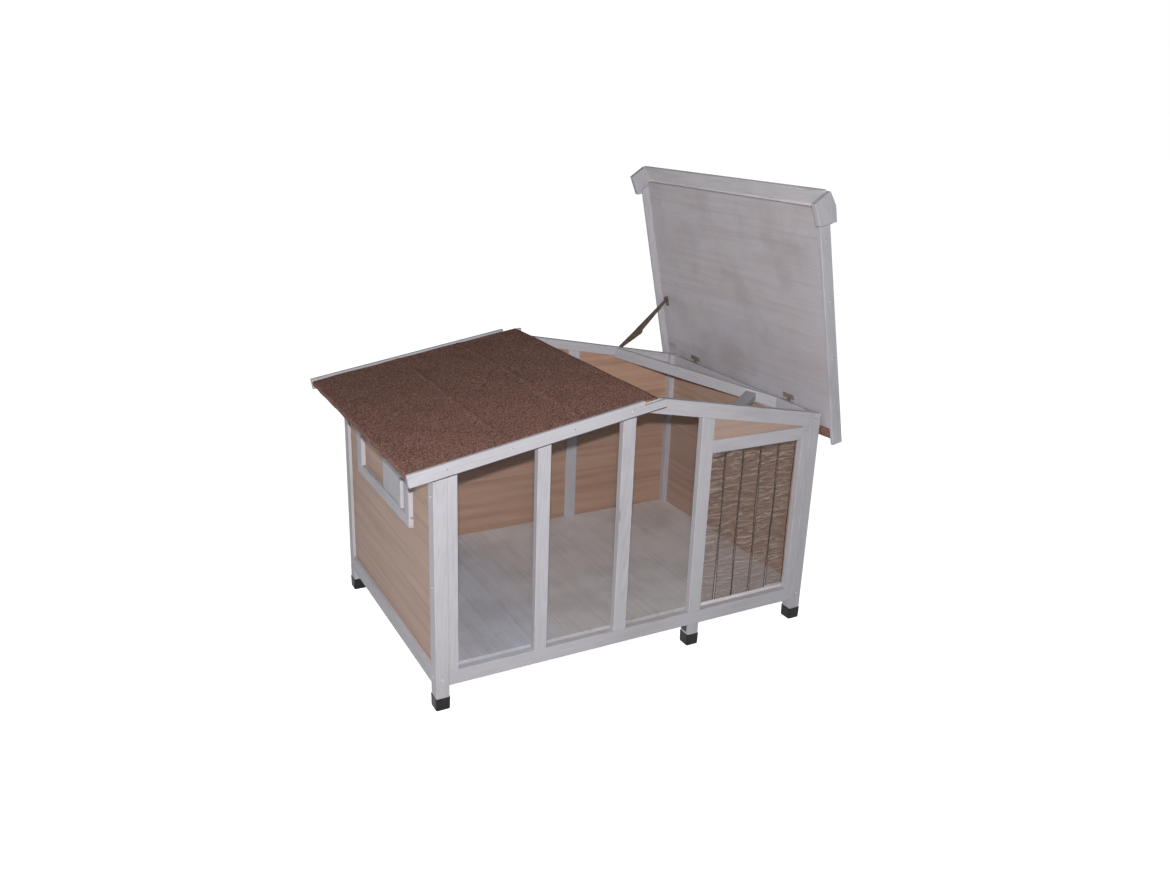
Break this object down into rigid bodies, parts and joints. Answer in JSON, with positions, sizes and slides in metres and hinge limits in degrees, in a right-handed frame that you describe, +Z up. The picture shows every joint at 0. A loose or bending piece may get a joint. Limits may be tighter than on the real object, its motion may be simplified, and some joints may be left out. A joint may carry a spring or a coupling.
{
  "type": "rabbit hutch",
  "caption": "Gabled timber pet hutch with a hinged roof half on a folding stay, clear front windows, a strip-curtain doorway and a sliding side vent.",
  "frame": {"origin": "centre of the overall bounding box on the ground, with the lid standing open as stored", "axes": "+X towards the hinged side and the doorway, +Y from the window front to the back wall, +Z up"},
  "size_m": [1.246, 0.882, 1.2406],
  "materials": {
    "white_timber": "thin white stain over fir",
    "natural_timber": "bare fir",
    "washed_plywood": "grey-white washed plywood",
    "mineral_felt": "red-brown mineral grit",
    "clear_acrylic": "clear sheet",
    "clear_vinyl": "clear crinkled strip",
    "black_plastic": "moulded",
    "black_steel": "black coated",
    "bronzed_steel": "dull bronzed",
    "brassed_steel": "dull",
    "zinc_steel": "dull zinc"
  },
  "bodies": {
    "house": {"corner_post_front_left": "white_timber", "corner_post_front_right": "white_timber", "corner_post_back_left": "white_timber", "corner_post_back_right": "white_timber", "door_post": "white_timber", "middle_legs": "white_timber", "foot_caps": "black_plastic", "bottom_rail_front": "white_timber", "bottom_rail_back": "white_timber", "bottom_rails_side": "white_timber", "floor_panel": "washed_plywood", "floor_bearers": "natural_timber", "front_stiles": "white_timber", "window_mullions": "white_timber", "door_header": "white_timber", "gable_infill": "natural_timber", "rafter_front_left": "white_timber", "rafter_front_right": "white_timber", "rafter_back_left": "white_timber", "rafter_back_right": "white_timber", "window_pane_left": "clear_acrylic", "window_pane_middle": "clear_acrylic", "window_pane_right": "clear_acrylic", "back_stile": "white_timber", "back_panel_left": "natural_timber", "back_panel_right": "natural_timber", "top_rail_left": "white_timber", "top_rail_right": "white_timber", "left_wall_panel": "natural_timber", "right_wall_panel": "natural_timber", "vent_frame": "white_timber", "roof_braces": "white_timber", "fixed_roof_panel": "washed_plywood", "fixed_roof_felt": "mineral_felt", "fixed_barge_front": "white_timber", "fixed_barge_back": "white_timber", "hinge_wall_leaves": "brassed_steel", "stay_frame_bracket": "bronzed_steel", "strip_clamp_bar": "natural_timber", "leg_brackets": "black_steel", "screws_house": "zinc_steel"},
    "lid": {"lid_panel": "washed_plywood", "lid_felt": "mineral_felt", "lid_barge_front": "white_timber", "lid_barge_back": "white_timber", "ridge_cap_boards": "white_timber", "ridge_cap_end_plates": "white_timber", "hinge_lid_leaves": "brassed_steel", "stay_lid_bracket": "bronzed_steel", "screws_lid": "zinc_steel"},
    "stay_lower": {"stay_lower_arm": "bronzed_steel"},
    "stay_upper": {"stay_upper_arm": "bronzed_steel"},
    "shutter": {"vent_shutter": "white_timber", "shutter_pull": "white_timber"},
    "strip_1": {"door_strip_1": "clear_vinyl"},
    "strip_2": {"door_strip_2": "clear_vinyl"},
    "strip_3": {"door_strip_3": "clear_vinyl"},
    "strip_4": {"door_strip_4": "clear_vinyl"},
    "strip_5": {"door_strip_5": "clear_vinyl"}
  },
  "joints": [
    {"name": "lid_hinge", "type": "hinge", "parent": "house", "child": "lid", "pos_m": [0.59105, 0, 0.62518], "axis": [0, 1, 0], "range_deg": [-66.8, 0]},
    {"name": "stay_foot_pivot", "type": "hinge", "parent": "house", "child": "stay_lower", "pos_m": [0.36105, 0.373, 0.66], "axis": [0, 1, 0], "range_deg": [-143.73, 0.5]},
    {"name": "stay_lid_pivot", "type": "hinge", "parent": "lid", "child": "stay_upper", "pos_m": [0.54626, 0.3775, 0.81494], "axis": [0, 1, 0], "range_deg": [-0.5, 112.74]},
    {"name": "shutter_slide", "type": "slide", "parent": "house", "child": "shutter", "axis": [0, 1, 0], "range_m": [0, 0.172]},
    {"name": "strip_1_swing", "type": "hinge", "parent": "house", "child": "strip_1", "pos_m": [0.25705, -0.347, 0.561], "axis": [1, 0, 0], "range_deg": [-70, 70]},
    {"name": "strip_2_swing", "type": "hinge", "parent": "house", "child": "strip_2", "pos_m": [0.31705, -0.347, 0.561], "axis": [1, 0, 0], "range_deg": [-70, 70]},
    {"name": "strip_3_swing", "type": "hinge", "parent": "house", "child": "strip_3", "pos_m": [0.37705, -0.347, 0.561], "axis": [1, 0, 0], "range_deg": [-70, 70]},
    {"name": "strip_4_swing", "type": "hinge", "parent": "house", "child": "strip_4", "pos_m": [0.43705, -0.347, 0.561], "axis": [1, 0, 0], "range_deg": [-70, 70]},
    {"name": "strip_5_swing", "type": "hinge", "parent": "house", "child": "strip_5", "pos_m": [0.49705, -0.347, 0.561], "axis": [1, 0, 0], "range_deg": [-70, 70]}
  ],
  "couplings": [
    {"joint": "stay_foot_pivot", "follows": "lid_hinge", "ratio": 2.1442},
    {"joint": "stay_lid_pivot", "follows": "lid_hinge", "ratio": -1.6803}
  ]
}
